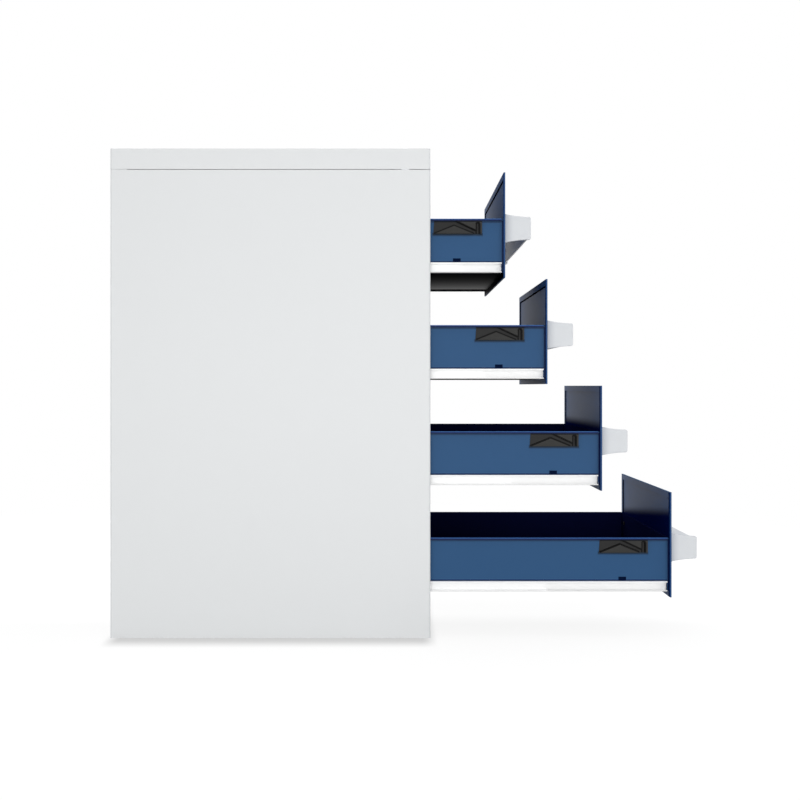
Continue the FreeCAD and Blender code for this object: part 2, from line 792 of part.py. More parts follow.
divider_pitch = (s.width - 2 * (tray_side + s.tray_sheet) + s.divider_sheet) / s.lanes
tray_back = s.front_thick + s.tray_front + s.tray_length
wall_face = s.front_thick + s.tray_front
screw_x = half - s.screw_inset
screw_spots = []
for x in (-screw_x, screw_x):
    for z in (s.tray_rise + s.screw_low, s.tray_rise + s.screw_high):
        screw_spots.append((x, z))
grip_screw_x = half - s.grip_screw_inset
grip_screw_spots = [(-grip_screw_x, s.grip_middle), (grip_screw_x, s.grip_middle)]


def drawer_front(label, place):
    """Pan folded back on all four edges, with a lip, and a spacer round each screw."""
    body = new_body(label, *place)
    sketch = new_sketch(body, "XZ")
    rectangle(sketch, -half, half, 0, front_height)
    pad(body, sketch, s.front_thick, back=True)
    lip = s.front_lip
    sketch = new_sketch(body, "XZ", -s.front_sheet)
    rectangle(sketch, -half + lip, half - lip, lip, front_height - lip)
    pocket(body, sketch, s.front_thick - s.front_sheet, back=False)
    sketch = new_sketch(body, "XZ", -s.front_sheet)
    edge = s.front_sheet
    rectangle(sketch, -half + edge, half - edge, edge, front_height - edge)
    pocket(body, sketch, s.front_thick - 2 * s.front_sheet, back=False)
    sketch = new_sketch(body, "XZ", -s.front_sheet)
    for x, z in screw_spots:
        circle(sketch, x, z, s.boss_radius)
    pad(body, sketch, s.front_thick - s.front_sheet, back=True)
    sketch = new_sketch(body, "XZ", -s.front_sheet)
    for x, z in screw_spots:
        circle(sketch, x, z, s.screw_radius + s.screw_play)
    pocket(body, sketch, s.front_thick - s.front_sheet, back=False)
    sketch = new_sketch(body, "XZ")
    for x, z in grip_screw_spots:
        circle(sketch, x, z, s.screw_radius + s.screw_play)
    pocket(body, sketch, s.front_sheet, back=False)


def drawer_tray(label, place):
    """Seven welded sheets: bottom, two angles over the runners, two sides, front and rear wall."""
    body = new_body(label, *place)
    thick = s.tray_sheet
    floor = s.tray_rise
    gap = s.weld_gap
    foot = ledge + thick
    angle = [
        (-half + tray_side, floor),
        (-half + tray_side, ledge),
        (-half + s.wall_inset, ledge),
        (-half + s.wall_inset, foot),
        (-half + tray_side + thick, foot),
        (-half + tray_side + thick, floor),
    ]
    side = [
        (-half + s.wall_inset, foot + gap),
        (-half + s.wall_inset, rim_top - thick),
        (-half + s.rim_inset + thick, rim_top - thick),
        (-half + s.rim_inset + thick, rim_top - s.rim_lip),
        (-half + s.rim_inset, rim_top - s.rim_lip),
        (-half + s.rim_inset, rim_top),
        (-half + s.wall_inset + thick, rim_top),
        (-half + s.wall_inset + thick, foot + gap),
    ]
    wide = half - s.wall_inset - thick - gap
    narrow = half - tray_side - thick - gap
    sketch = new_sketch(body, "XZ", -(wall_face + gap))
    for corners in (angle, side):
        outline(sketch, corners)
        outline(sketch, mirrored(corners))
    rectangle(sketch, -narrow, narrow, floor, floor + thick)
    pad(body, sketch, s.tray_length - gap, back=True)
    sketch = new_sketch(body, "XZ", -s.front_thick)
    edge = half - s.tray_front_inset
    rectangle(sketch, -edge, edge, floor, rim_top)
    pad(body, sketch, s.tray_front, back=True)
    sketch = new_sketch(body, "XZ", -(tray_back - thick))
    high = rim_top - s.rear_drop
    outline(
        sketch,
        [
            (-narrow, floor + thick + gap),
            (narrow, floor + thick + gap),
            (narrow, foot + gap),
            (wide, foot + gap),
            (wide, high),
            (-wide, high),
            (-wide, foot + gap),
            (-narrow, foot + gap),
        ],
    )
    pad(body, sketch, thick, back=True)
    sketch = new_sketch(body, "YZ", -half)
    notch_end = s.notch_back + s.notch_length
    rectangle(sketch, s.notch_back, notch_end, foot, foot + s.notch_height)
    pocket(body, sketch, s.width, back=True)
    sketch = new_sketch(body, "XZ", -s.front_thick)
    for x, z in screw_spots:
        circle(sketch, x, z, s.screw_radius + s.screw_play)
    pocket(body, sketch, s.tray_front, back=False)


def drawer_dividers(label, place):
    """Plain strips on edge that part the tray's floor into lanes for the slides."""
    body = new_body(label, *place)
    low = s.tray_rise + s.tray_sheet
    sketch = new_sketch(body, "XZ", -(wall_face + s.divider_gap))
    for lane in range(1, SIZES_BY_NAME["lanes"]):
        middle = divider_pitch * (lane - SIZES_BY_NAME["lanes"] / 2)
        edge = s.divider_sheet / 2
        rectangle(sketch, middle - edge, middle + edge, low, low + s.divider_height)
    pad(body, sketch, s.tray_length - s.tray_sheet - 2 * s.divider_gap, back=True)


def cam_plate(label, place):
    """Moulded plate on the tray's left side, with the track that a lock pin follows."""
    body = new_body(label, *place)
    front = s.cam_front
    rear = s.cam_front + s.cam_length
    low = cam_top - s.cam_height
    face = s.wall_inset - s.cam_thick
    sketch = new_sketch(body, "YZ", -half + face)
    outline(
        sketch,
        [
            (front + s.cam_round, low),
            (rear, low),
            (rear - s.cam_slant, cam_top),
            (front + s.cam_round, cam_top, s.cam_round),
            (front, cam_top - s.cam_round),
            (front, low + s.cam_round, s.cam_round),
        ],
    )
    pad(body, sketch, s.cam_thick)
    slot_front = front + s.cam_border
    slot_back = slot_front + s.cam_slot
    round_top = cam_top - s.cam_slot_top - s.cam_slot / 2
    past = s.cam_border
    peak_y = rear - s.ramp_peak
    peak_z = cam_top - s.ramp_peak_drop
    base_z = low + s.ramp_base
    sketch = new_sketch(body, "YZ", -half + face)
    outline(
        sketch,
        [
            (rear + past, cam_top + past),
            (rear - s.guide_start, cam_top + past),
            (rear - s.guide_start, cam_top),
            (slot_back + s.guide_nose, cam_top - s.guide_drop),
            (slot_back, cam_top - s.guide_drop),
            (slot_back, round_top, s.cam_slot / 2 * HALF_TURN),
            (slot_front, round_top),
            (slot_front, low - past),
            (slot_back + s.cam_border, low - past),
            (slot_back + s.cam_border, base_z),
            (peak_y - s.ramp_round, peak_z - s.ramp_round / 2),
            (peak_y, peak_z),
            (peak_y + s.ramp_round, peak_z - s.ramp_round / 2),
            (rear - s.ramp_foot, base_z),
            (rear + past, base_z),
        ],
    )
    pocket(body, sketch, s.cam_track, back=True)


def tray_runners(label, place):
    """Outermost member of the runners, with a lip along each open edge."""
    x, y, z = place
    thick = s.runner_sheet
    top = s.runner_height / 2
    lip = s.runner_lip
    left = [
        (-half + tray_side, runner_middle - top),
        (-half + s.tray_edge, runner_middle - top),
        (-half + s.tray_edge, runner_middle - top + thick + lip),
        (-half + s.tray_edge + lip, runner_middle - top + thick + lip),
        (-half + s.tray_edge + lip, runner_middle - top + thick),
        (-half + tray_web, runner_middle - top + thick),
        (-half + tray_web, runner_middle + top - thick),
        (-half + s.tray_edge + lip, runner_middle + top - thick),
        (-half + s.tray_edge + lip, runner_middle + top - thick - lip),
        (-half + s.tray_edge, runner_middle + top - thick - lip),
        (-half + s.tray_edge, runner_middle + top),
        (-half + tray_side, runner_middle + top),
    ]
    runner_pair(label, left, y + s.runner_start, z)


def grip(label, place):
    """Bar grip: an extruded hood, open below for the fingers, screwed through the front."""
    body = new_body(label, *place)
    wall = s.grip_wall
    reach = s.cap_reach - s.cap_proud
    root = s.cap_root / 2 - s.cap_proud
    nose = s.cap_nose / 2 - s.cap_proud
    hollow = s.cap_hollow + s.cap_proud
    sketch = new_sketch(body, "YZ", -half + s.grip_inset + s.cap_thick)
    outline(
        sketch,
        [
            (0, s.grip_middle - root),
            (0, s.grip_middle + root, -hollow),
            (-reach + s.cap_round, s.grip_middle + nose, s.cap_round),
            (-reach, s.grip_middle + nose - s.cap_round),
            (-reach, s.grip_middle - nose),
            (-reach + wall, s.grip_middle - nose),
            (-reach + wall, s.grip_middle + nose - wall - s.grip_fillet, -s.grip_fillet),
            (-reach + wall + s.grip_fillet, s.grip_middle + nose - wall, hollow + wall),
            (-wall, s.grip_middle + root - wall),
            (-wall, s.grip_middle - root),
        ],
    )
    pad(body, sketch, s.width - 2 * (s.grip_inset + s.cap_thick))
    sketch = new_sketch(body, "XZ", wall)
    for x, z in grip_screw_spots:
        circle(sketch, x, z, s.screw_radius + s.screw_play)
    pocket(body, sketch, wall, back=False)


def grip_caps(label, place):
    """Moulded ends of the grip, a little proud of it, each with a tongue inside the hood."""
    body = new_body(label, *place)
    middle = s.grip_middle
    root = s.cap_root / 2
    nose = s.cap_nose / 2
    profile = [
        (0, middle - root),
        (0, middle + root, -s.cap_hollow),
        (-s.cap_reach + s.cap_round, middle + nose, s.cap_round),
        (-s.cap_reach, middle + nose - s.cap_round),
        (-s.cap_reach, middle - nose + s.cap_round, s.cap_round),
        (-s.cap_reach + s.cap_round, middle - nose, -s.cap_hollow),
    ]
    cap_end = half - s.grip_inset
    for start in (-cap_end, cap_end - s.cap_thick):
        sketch = new_sketch(body, "YZ", start)
        outline(sketch, profile)
        pad(body, sketch, s.cap_thick)
    wall = s.grip_wall + s.tongue_play
    reach = s.cap_reach - s.cap_proud - wall
    for start in (-cap_end + s.cap_thick, cap_end - s.cap_thick - s.tongue_length):
        sketch = new_sketch(body, "YZ", start)
        high = middle + nose - s.cap_proud - wall
        rectangle(sketch, -reach + s.grip_fillet, -wall, high - s.tongue_length, high)
        pad(body, sketch, s.tongue_length)


def drawer_screws(label, place):
    """Four screws through the tray's front wall and two through the front into the grip."""
    body = new_body(label, *place)
    groups = (
        (screw_spots, wall_face, wall_face + s.screw_head_thick, s.front_sheet),
        (grip_screw_spots, s.front_sheet, s.front_sheet + s.screw_head_thick, -s.grip_wall),
    )
    for spots, seat, head_end, tip in groups:
        for start, end, radius in ((seat, head_end, s.screw_head), (tip, seat, s.screw_radius)):
            sketch = new_sketch(body, "XZ", -as_size(start))
            for x, z in spots:
                circle(sketch, x, z, radius)
            pad(body, sketch, end - start, back=True)


for number, opening in enumerate(openings, start=1):
    place = (0, closed_face - opening, drawer_floor(number))
    drawer_front(f"drawer_front_{number}", place)
    drawer_tray(f"drawer_tray_{number}", place)
    drawer_dividers(f"slide_dividers_{number}", place)
    tray_runners(f"tray_runners_{number}", place)
    cam_plate(f"cam_plate_{number}", place)
    grip(f"grip_{number}", place)
    grip_caps(f"grip_caps_{number}", place)
    drawer_screws(f"drawer_screws_{number}", place)

# ---- check every object and write one STEP file for each node -----------------------------------

doc.recompute()
for thing in doc.Objects:
    bad = {"Invalid", "Error"} & set(thing.State)
    if bad:
        owner = thing.getParentGeoFeatureGroup() or thing
        raise RuntimeError(f"{thing.Label} of {owner.Label} is {bad}")
for node in nodes:
    if node.Shape.isNull() or not node.Shape.isValid() or not node.Shape.Solids:
        raise RuntimeError(f"{node.Label} has no sound shape")

os.makedirs("parts", exist_ok=True)
for node in nodes:
    node.Shape.exportStep(f"parts/{node.Label}.step")
    print(f"{node.Label:20s} solids {len(node.Shape.Solids):2d} volume {node.Shape.Volume:12.1f}")
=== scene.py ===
import math

import bmesh
import bpy
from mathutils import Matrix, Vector


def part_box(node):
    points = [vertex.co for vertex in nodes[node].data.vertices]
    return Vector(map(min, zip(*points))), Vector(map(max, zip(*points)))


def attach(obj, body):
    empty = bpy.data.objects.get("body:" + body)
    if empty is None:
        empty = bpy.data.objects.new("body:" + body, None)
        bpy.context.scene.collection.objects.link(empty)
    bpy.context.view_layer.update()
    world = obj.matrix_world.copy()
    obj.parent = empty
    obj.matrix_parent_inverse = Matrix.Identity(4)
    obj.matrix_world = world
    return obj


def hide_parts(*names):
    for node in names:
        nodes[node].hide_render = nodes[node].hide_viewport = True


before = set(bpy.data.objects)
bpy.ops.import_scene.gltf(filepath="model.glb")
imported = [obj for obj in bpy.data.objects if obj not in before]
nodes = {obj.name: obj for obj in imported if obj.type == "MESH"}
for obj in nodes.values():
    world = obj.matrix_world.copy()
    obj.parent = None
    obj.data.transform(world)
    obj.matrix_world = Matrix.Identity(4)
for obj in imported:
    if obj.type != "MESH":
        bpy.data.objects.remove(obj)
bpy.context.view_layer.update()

# ---- cabinet body: side panels, back, base, plinth, rails and cover ---------------------------
# Folded steel sheet, welded at the corners, then sprayed light grey with polyester powder and
# baked. The coat has a very fine orange peel, a satin gloss and a faint cloudy tone.


class Wire:
    """One output of a shader node. Arithmetic and comparison on it add the Math nodes."""

    def __init__(self, tree, socket):
        self.tree = tree
        self.socket = socket

    def math(self, operation, *others):
        return add_node(self.tree, "ShaderNodeMath", {"operation": operation}, [self, *others])

    def __add__(self, other):
        return self.math("ADD", other)

    def __radd__(self, other):
        return self.math("ADD", other)

    def __sub__(self, other):
        return self.math("SUBTRACT", other)

    def __rsub__(self, other):
        return add_node(self.tree, "ShaderNodeMath", {"operation": "SUBTRACT"}, [other, self])

    def __mul__(self, other):
        return self.math("MULTIPLY", other)

    def __rmul__(self, other):
        return self.math("MULTIPLY", other)

    def __gt__(self, other):
        return self.math("GREATER_THAN", other)

    def __lt__(self, other):
        return self.math("LESS_THAN", other)

    def __and__(self, other):
        return self.math("MINIMUM", other)

    def __or__(self, other):
        return self.math("MAXIMUM", other)

    def __abs__(self):
        return self.math("ABSOLUTE")

    def rise(self, low, high):
        """0 below low, 1 above high, and smooth between."""
        settings = {"interpolation_type": "SMOOTHSTEP"}
        values = {"Value": self, "From Min": low, "From Max": high}
        return add_node(self.tree, "ShaderNodeMapRange", settings, values)

    def fall(self, low, high):
        """1 below low, 0 above high, and smooth between."""
        return 1.0 - self.rise(low, high)


def add_node(tree, kind, settings=None, values=(), output=0):
    """Add a node, apply its settings, then fill its inputs in order or by name."""
    node = tree.nodes.new(kind)
    for name, setting in (settings or {}).items():
        setattr(node, name, setting)
    pairs = values.items() if isinstance(values, dict) else enumerate(values)
    for key, value in pairs:
        if isinstance(value, Wire):
            tree.links.new(value.socket, node.inputs[key])
        else:
            node.inputs[key].default_value = value
    return Wire(tree, node.outputs[output])


def linear(red, green, blue):
    """A colour as it looks on a screen, 0 to 255, for a shader."""
    parts = []
    for part in (red, green, blue):
        part = part / 255
        parts.append(part / 12.92 if part <= 0.04045 else ((part + 0.055) / 1.055) ** 2.4)
    return (*parts, 1.0)


def new_material(name):
    """A node material with its tree, its shader and the object's own coordinates."""
    material = bpy.data.materials.new(name)
    material.use_nodes = True
    tree = material.node_tree
    tree.nodes.clear()
    shader = tree.nodes.new("ShaderNodeBsdfPrincipled")
    output = tree.nodes.new("ShaderNodeOutputMaterial")
    tree.links.new(shader.outputs[0], output.inputs[0])
    return material, tree, shader, add_node(tree, "ShaderNodeTexCoord", output="Object")


def feed(tree, shader, name, wire):
    """Lead a wire into an input of the shader. A later wire takes the place of an earlier one."""
    tree.links.new(wire.socket, shader.inputs[name])


def noise(tree, where, scale, detail=2.0):
    """Cloudy noise from 0 to 1, with about as many waves to the metre as its scale says."""
    values = {"Vector": where, "Scale": scale, "Detail": detail}
    return add_node(tree, "ShaderNodeTexNoise", {"noise_dimensions": "3D"}, values)


def blend_colours(tree, factor, first, second):
    """Go from one colour to another. Each is a wire or four numbers."""
    node = tree.nodes.new("ShaderNodeMix")
    node.data_type = "RGBA"
    named = {socket.identifier: socket for socket in node.inputs}
    for key, value in (("Factor_Float", factor), ("A_Color", first), ("B_Color", second)):
        if isinstance(value, Wire):
            tree.links.new(value.socket, named[key])
        else:
            named[key].default_value = value
    return Wire(tree, [socket for socket in node.outputs if socket.identifier == "Result_Color"][0])


def coords(tree, where):
    """The three coordinates of a point, each as a wire."""
    node = tree.nodes.new("ShaderNodeSeparateXYZ")
    tree.links.new(where.socket, node.inputs[0])
    return [Wire(tree, output) for output in node.outputs]


def powder_coat(name, colour, darker, roughness):
    """Baked powder coat. Gives its material, tree, shader, coordinates and colour wire."""
    material, tree, shader, where = new_material(name)
    cloud = noise(tree, where, scale=5.0, detail=3.0)
    peel = noise(tree, where, scale=900.0)
    dust = noise(tree, where, scale=3500.0, detail=1.0)
    tone = blend_colours(tree, cloud * 0.6 + dust * 0.4, darker, colour)
    feed(tree, shader, "Base Color", tone)
    feed(tree, shader, "Roughness", roughness + 0.10 * (cloud - 0.5) + 0.06 * (dust - 0.5))
    shader.inputs["Specular IOR Level"].default_value = 0.5
    values = {"Strength": 0.12, "Distance": 0.0002, "Height": peel * 0.7 + dust * 0.3}
    feed(tree, shader, "Normal", add_node(tree, "ShaderNodeBump", None, values))
    return material, tree, shader, where, tone


def dress(material, *names):
    """Give CAD nodes a material."""
    for name in names:
        nodes[name].data.materials.clear()
        nodes[name].data.materials.append(material)


body_colour, body_darker = linear(223, 225, 226), linear(220, 222, 223)
body_gloss = 0.42
bend_shade_colour, bend_strength = linear(196, 199, 202), 0.5
front_bend, rear_bend = (0.0015, 0.0040), (0.0035, 0.0010)
body_grey, tree, shader, where, tone = powder_coat(
    "body_powder_coat", body_colour, body_darker, body_gloss
)
# Painted shade: the front and rear bends are darker, where the rounded edges turn from the light.
y = coords(tree, where)[1]
front_end, rear_end = (corner.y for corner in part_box("side_panel_left"))
bend_shade = y.fall(front_end + front_bend[0], front_end + front_bend[1])
bend_shade = bend_shade | y.rise(rear_end - rear_bend[0], rear_end - rear_bend[1])
feed(tree, shader, "Base Color", blend_colours(tree, bend_shade * bend_strength, tone, bend_shade_colour))
panels = ("side_panel_left", "side_panel_right", "back_panel", "base_pan", "plinth")
dress(body_grey, *panels, "top_front_rail", "top_rear_rail", "top_cover")

# ---- rail posts, foot bridges, bar guides and cover screws ------------------------------------
# Plain steel, stamped or turned and then zinc plated bright. The posts are welded to the side
# panels, the bridges to the base pan, and the screws hold the cover down from inside.


def plated_steel(name, colour, roughness):
    """Bright plate: a faint spangle in its tone and fine streaks in its gloss."""
    material, tree, shader, where = new_material(name)
    spangle = noise(tree, where, scale=120.0, detail=3.0)
    streak = noise(tree, where, scale=900.0)
    darker = tuple(part * 0.85 for part in colour)
    feed(tree, shader, "Base Color", blend_colours(tree, spangle, colour, darker))
    feed(tree, shader, "Roughness", roughness + 0.15 * (streak - 0.5))
    shader.inputs["Metallic"].default_value = 1.0
    return material


zinc_colour, zinc_gloss = (0.62, 0.64, 0.66, 1.0), 0.34
zinc = plated_steel("bright_zinc", zinc_colour, zinc_gloss)
dress(zinc, "rail_posts_left", "rail_posts_right", "foot_bridges")
dress(zinc, "lock_bar_guides", "cover_screws")

# ---- levelling feet ---------------------------------------------------------------------------
# Black nylon discs moulded on threaded studs. Each is screwed up through the base pan into a
# foot bridge and held there by a nut, here with the disc level with the pan.


def moulded_plastic(name, colour, darker, roughness, shine=0.5):
    """Matte moulding: fine grain and a faint cloudy tone. Gives what powder_coat gives."""
    material, tree, shader, where = new_material(name)
    cloud = noise(tree, where, scale=30.0)
    grain = noise(tree, where, scale=1600.0, detail=3.0)
    tone = blend_colours(tree, cloud, darker, colour)
    feed(tree, shader, "Base Color", tone)
    feed(tree, shader, "Roughness", roughness + 0.12 * (grain - 0.5))
    shader.inputs["Specular IOR Level"].default_value = shine
    values = {"Strength": 0.15, "Distance": 0.0002, "Height": grain}
    feed(tree, shader, "Normal", add_node(tree, "ShaderNodeBump", None, values))
    return material, tree, shader, where, tone


foot_colour, foot_darker, foot_gloss = linear(40, 40, 42), linear(32, 32, 34), 0.6
foot_black = moulded_plastic("foot_plastic", foot_colour, foot_darker, foot_gloss)[0]
dress(foot_black, "levelling_feet")

# ---- lock: housing, plug, bar and pins --------------------------------------------------------
# A small key lock in the front of the cover, die cast and nickel plated. Its plug lifts a zinc
# plated steel bar, whose pins run in the cam plates of all the drawers.

nickel_colour, nickel_gloss = (0.72, 0.71, 0.69, 1.0), 0.22
nickel = plated_steel("satin_nickel", nickel_colour, nickel_gloss)
dress(nickel, "lock_housing", "lock_plug")
dress(zinc, "lock_bar", "lock_pins")

# ---- runners ----------------------------------------------------------------------------------
# Rolled steel channels that slide in one another on ball cages, epoxy coated white: one on the
# cabinet, one on the drawer and one between them that goes half as far.

drawers = [1, 2, 3, 4]
drawer_pitch = 0.2
half_gap = 0.0015
lowest_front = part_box("drawer_front_4")[0].z
front_faces = {number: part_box(f"drawer_front_{number}")[0].y for number in drawers}


def in_drawer(tree, where):
    """A point from its own drawer: across the middle, behind the front, above its lower edge."""
    x, y, z = coords(tree, where)
    height = z - lowest_front
    behind = y - front_faces[4]
    for number in (3, 2, 1):
        edge = (4 - number) * drawer_pitch - half_gap
        behind = behind - (height > edge) * (front_faces[number] - front_faces[number + 1])
    storey = (height * (1 / drawer_pitch) + half_gap / drawer_pitch).math("FLOOR")
    return x, behind, height - storey * drawer_pitch


runner_colour, runner_darker, runner_gloss = linear(253, 253, 253), linear(250, 251, 251), 0.4
runner_white, tree, shader, where, tone = powder_coat(
    "runner_epoxy", runner_colour, runner_darker, runner_gloss
)
# Painted shade greys the lower edge of each runner, where it turns from the light.
edge_top, edge_shade_colour, edge_strength = 0.0113, linear(170, 170, 168), 0.6
lower_edge_shade = (in_drawer(tree, where)[2] < edge_top) * edge_strength
feed(tree, shader, "Base Color", blend_colours(tree, lower_edge_shade, tone, edge_shade_colour))
for number in drawers:
    for kind in ("body", "middle", "tray"):
        dress(runner_white, f"{kind}_runners_{number}")

# ---- drawer trays and slide dividers ----------------------------------------------------------
# Trays welded from folded sheet with rolled rims, sprayed gentian blue after the dividers of the
# slide lanes are in. Down between the dividers the hollow gets painted shade: it is painted
# nearly black and dull.

gentian, gentian_deep = linear(42, 82, 124), linear(38, 78, 119)
coat_gloss, coat_shine = 0.45, 0.30


def shine_where(tree, shader, mask):
    """Put the coat's shine only where the mask is 1."""
    shader.inputs["Specular IOR Level"].default_value = 0.0
    shader.inputs["Coat Roughness"].default_value = coat_gloss
    feed(tree, shader, "Coat Weight", mask * coat_shine)


tray_coat, tree, shader, where, tone = powder_coat(
    "tray_powder_coat", gentian, gentian_deep, coat_gloss
)
x, y, z = in_drawer(tree, where)
out = abs(x)

# Painted shade in the hollow and on the underside, inside the walls.
wall_inside, tray_underside = 0.2130, 0.0105
hollow_shade_colour, under_shade_colour = linear(14, 19, 58), linear(11, 13, 18)
inside = (out < wall_inside) & (z > tray_underside)
under = (out < wall_inside) & (z < tray_underside)

# The rim: painted shade on its under edge and its outer face, a painted highlight on its
# shoulder, and painted shade on its top seen from inside.
rim_low, rim_middle, rim_shoulder, rim_top = 0.1040, 0.1083, 0.1100, 0.1106
rim_start, rim_crown, inside_from = 0.2150, 0.2165, 0.2125
rim_face_shade, rim_foot_shade, shoulder_highlight = linear(10, 42, 96), linear(0, 10, 56), linear(62, 104, 164)
rim = (out > rim_start) & (z > rim_low)
rim_foot = rim & (z < rim_middle)
shoulder = (z > rim_shoulder) & (out > rim_crown)
inside = inside | ((out > inside_from) & (out < rim_crown) & (z > rim_top))

# Shade on the walls: below the rim, at the front edge and along the fold by the runner.
wall_outside, gap_rise, gap_end, gap_strength = 0.2145, (0.1030, 0.1050), 0.1075, 0.5
front_fade, front_top = (0.0038, 0.0062), 0.1080
fold_low, fold_high = 0.0295, 0.0316
gap_colour, front_colour, fold_colour = linear(4, 14, 44), linear(0, 18, 66), linear(8, 36, 76)
below_rim = (out < wall_outside) & z.rise(*gap_rise) & (z < gap_end)
front_edge = y.fall(*front_fade) & (z < front_top)
fold = (z > fold_low) & (z < fold_high) & (out > inside_from)

# Shade below the cam plate, which stands out from the left wall.
cam_low, cam_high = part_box("cam_plate_1")
cam_start, cam_end = cam_low.y - front_faces[1], cam_high.y - front_faces[1]
cam_foot = cam_low.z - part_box("drawer_front_1")[0].z
shade_depth, shade_full, shade_above, shade_side = 0.0060, 0.0012, 0.002, 0.003
shade_colour = linear(16, 36, 54)
cam_shade = z.rise(cam_foot - shade_depth, cam_foot - shade_full) & (x < 0.0)
cam_shade = cam_shade & z.fall(cam_foot, cam_foot + shade_above)
cam_shade = cam_shade & y.rise(cam_start - shade_side, cam_start)
cam_shade = cam_shade & y.fall(cam_end, cam_end + shade_side)

for mask, colour in (
    (rim, rim_face_shade),
    (rim_foot, rim_foot_shade),
    (shoulder, shoulder_highlight),
    (below_rim * gap_strength, gap_colour),
    (front_edge, front_colour),
    (fold, fold_colour),
    (cam_shade, shade_colour),
    (under, under_shade_colour),
    (inside, hollow_shade_colour),
):
    tone = blend_colours(tree, mask, tone, colour)
feed(tree, shader, "Base Color", tone)

# Painted sheen: the underside's shine is low, grows towards the right and stops short of the wall.
under_shine, shine_growth, growth_from, shine_end = 0.08, 12.0, -0.22, 0.1550
shoulder_loss = 0.7
growth = ((x - growth_from) | 0.0).math("POWER", 2.0)
painted_under_sheen = (under_shine + shine_growth * growth) * (x < shine_end)
shine_where(tree, shader, 1.0 - inside - under * (1.0 - painted_under_sheen) - shoulder * shoulder_loss)
for number in drawers:
    dress(tray_coat, f"drawer_tray_{number}", f"slide_dividers_{number}")

# ---- notch plugs ------------------------------------------------------------------------------
# Dark blue nylon plugs, moulded and clipped from inside into the notch above each runner, with
# a groove all round that grips the sheet. Their face lies a little below the wall's. Their
# near-black blue is painted shade, for the dim inside of the drawer seen through the notch.

plug_length, plug_height, plug_thickness = 0.0149, 0.0074, 0.0024
plug_face, plug_edge = 0.2129, 0.0003
notch_middle = (0.09025, 0.0335)
plug_shade_colour, plug_darker, plug_gloss = linear(9, 23, 52), linear(6, 18, 46), 0.5
plug_blue = moulded_plastic("plug_nylon", plug_shade_colour, plug_darker, plug_gloss, shine=0.0)[0]


def round_off(shape, edges, radius, segments):
    """Round some edges of a shape."""
    bmesh.ops.bevel(
        shape,
        geom=edges,
        offset=radius,
        segments=segments,
        profile=0.5,
        affect="EDGES",
        material=-1,
    )


def new_piece(shape, name, material, body):
    """Turn a finished shape into a piece that rides on a body."""
    bmesh.ops.recalc_face_normals(shape, faces=shape.faces)
    mesh = bpy.data.meshes.new(name)
    shape.to_mesh(mesh)
    shape.free()
    mesh.materials.append(material)
    piece = bpy.data.objects.new(name, mesh)
    bpy.context.scene.collection.objects.link(piece)
    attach(piece, body)
    return piece


for number in drawers:
    shape = bmesh.new()
    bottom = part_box(f"drawer_front_{number}")[0].z
    for side in (-1, 1):
        plug = bmesh.ops.create_cube(shape, size=1)["verts"]
        bmesh.ops.scale(shape, verts=plug, vec=(plug_thickness, plug_length, plug_height))
        along, up = front_faces[number] + notch_middle[0], bottom + notch_middle[1]
        place = (side * (plug_face - plug_thickness / 2), along, up)
        bmesh.ops.translate(shape, verts=plug, vec=place)
    round_off(shape, shape.edges[:], plug_edge, 2)
    new_piece(shape, f"notch_plugs_{number}", plug_blue, f"drawer_{number}")

# ---- drawer fronts ----------------------------------------------------------------------------
# One sheet each, folded back 3 mm all round and in again to a narrow lip, sprayed like the
# trays. The hollow back is painted darker as shade, darkest towards the tray, with a painted sheen.

front_coat, tree, shader, where, tone = powder_coat(
    "front_powder_coat", gentian, gentian_deep, coat_gloss
)
x, y, z = in_drawer(tree, where)
out = abs(x)
far = x.rise(-0.225, 0.20)
near = 1.0 - far

# Lower fronts stand further out and catch more light: the highest, the upper two, the lowest.
height = coords(tree, where)[2] - lowest_front + half_gap
highest, upper = height > 3 * drawer_pitch, height > 2 * drawer_pitch
lowest = height < drawer_pitch

# Painted shade on the back inside its four folds, on the hollow within the lip and on the folds.
fold_inside, back_low, back_high = 0.2240, 0.0010, 0.1960
back_from, lip_from, returns_from = 0.0005, 0.0025, 0.0004
back_shade_colour, returns_shade_colour = linear(32, 66, 112), linear(28, 66, 116)
back = (y > back_from) & (out < fold_inside) & (z < back_high) & (z > back_low)
hollow = back & (y < lip_from)
returns = (out > fold_inside) & (y > returns_from)

# Painted shade where the tray and the lips keep light from the hollow.
tray_fade, fade_slope, fade_drop = (0.112, 0.134), 0.102, 0.014
lip_low, lip_shade_low, lip_shade_fade, lip_loss = 0.1830, 0.1850, (-0.16, 0.08), 0.8
right_lip, left_lip, low_part, low_sheen = 0.2105, -0.2130, 0.0300, 0.3
deep_shade_colour, by_tray_shade_colour, side_lip_shade_colour = linear(0, 1, 14), linear(4, 14, 66), linear(0, 24, 74)
by_tray = (z + (fade_slope * x - fade_drop) * lowest).fall(*tray_fade) * (1.0 - upper)
under_lip = (z > lip_low) * upper
dark = hollow & (by_tray | under_lip | (x > right_lip))
side_lip = back & (x < left_lip)
below_tray = back & (z < low_part) & highest
lip_shade = (z > lip_shade_low) & x.fall(*lip_shade_fade) & upper & (1.0 - highest)

for mask, colour in (
    (returns, returns_shade_colour),
    (back, back_shade_colour),
    (side_lip, side_lip_shade_colour),
    (dark | below_tray, deep_shade_colour),
    (hollow & by_tray, by_tray_shade_colour),
):
    tone = blend_colours(tree, mask, tone, colour)
feed(tree, shader, "Base Color", tone)

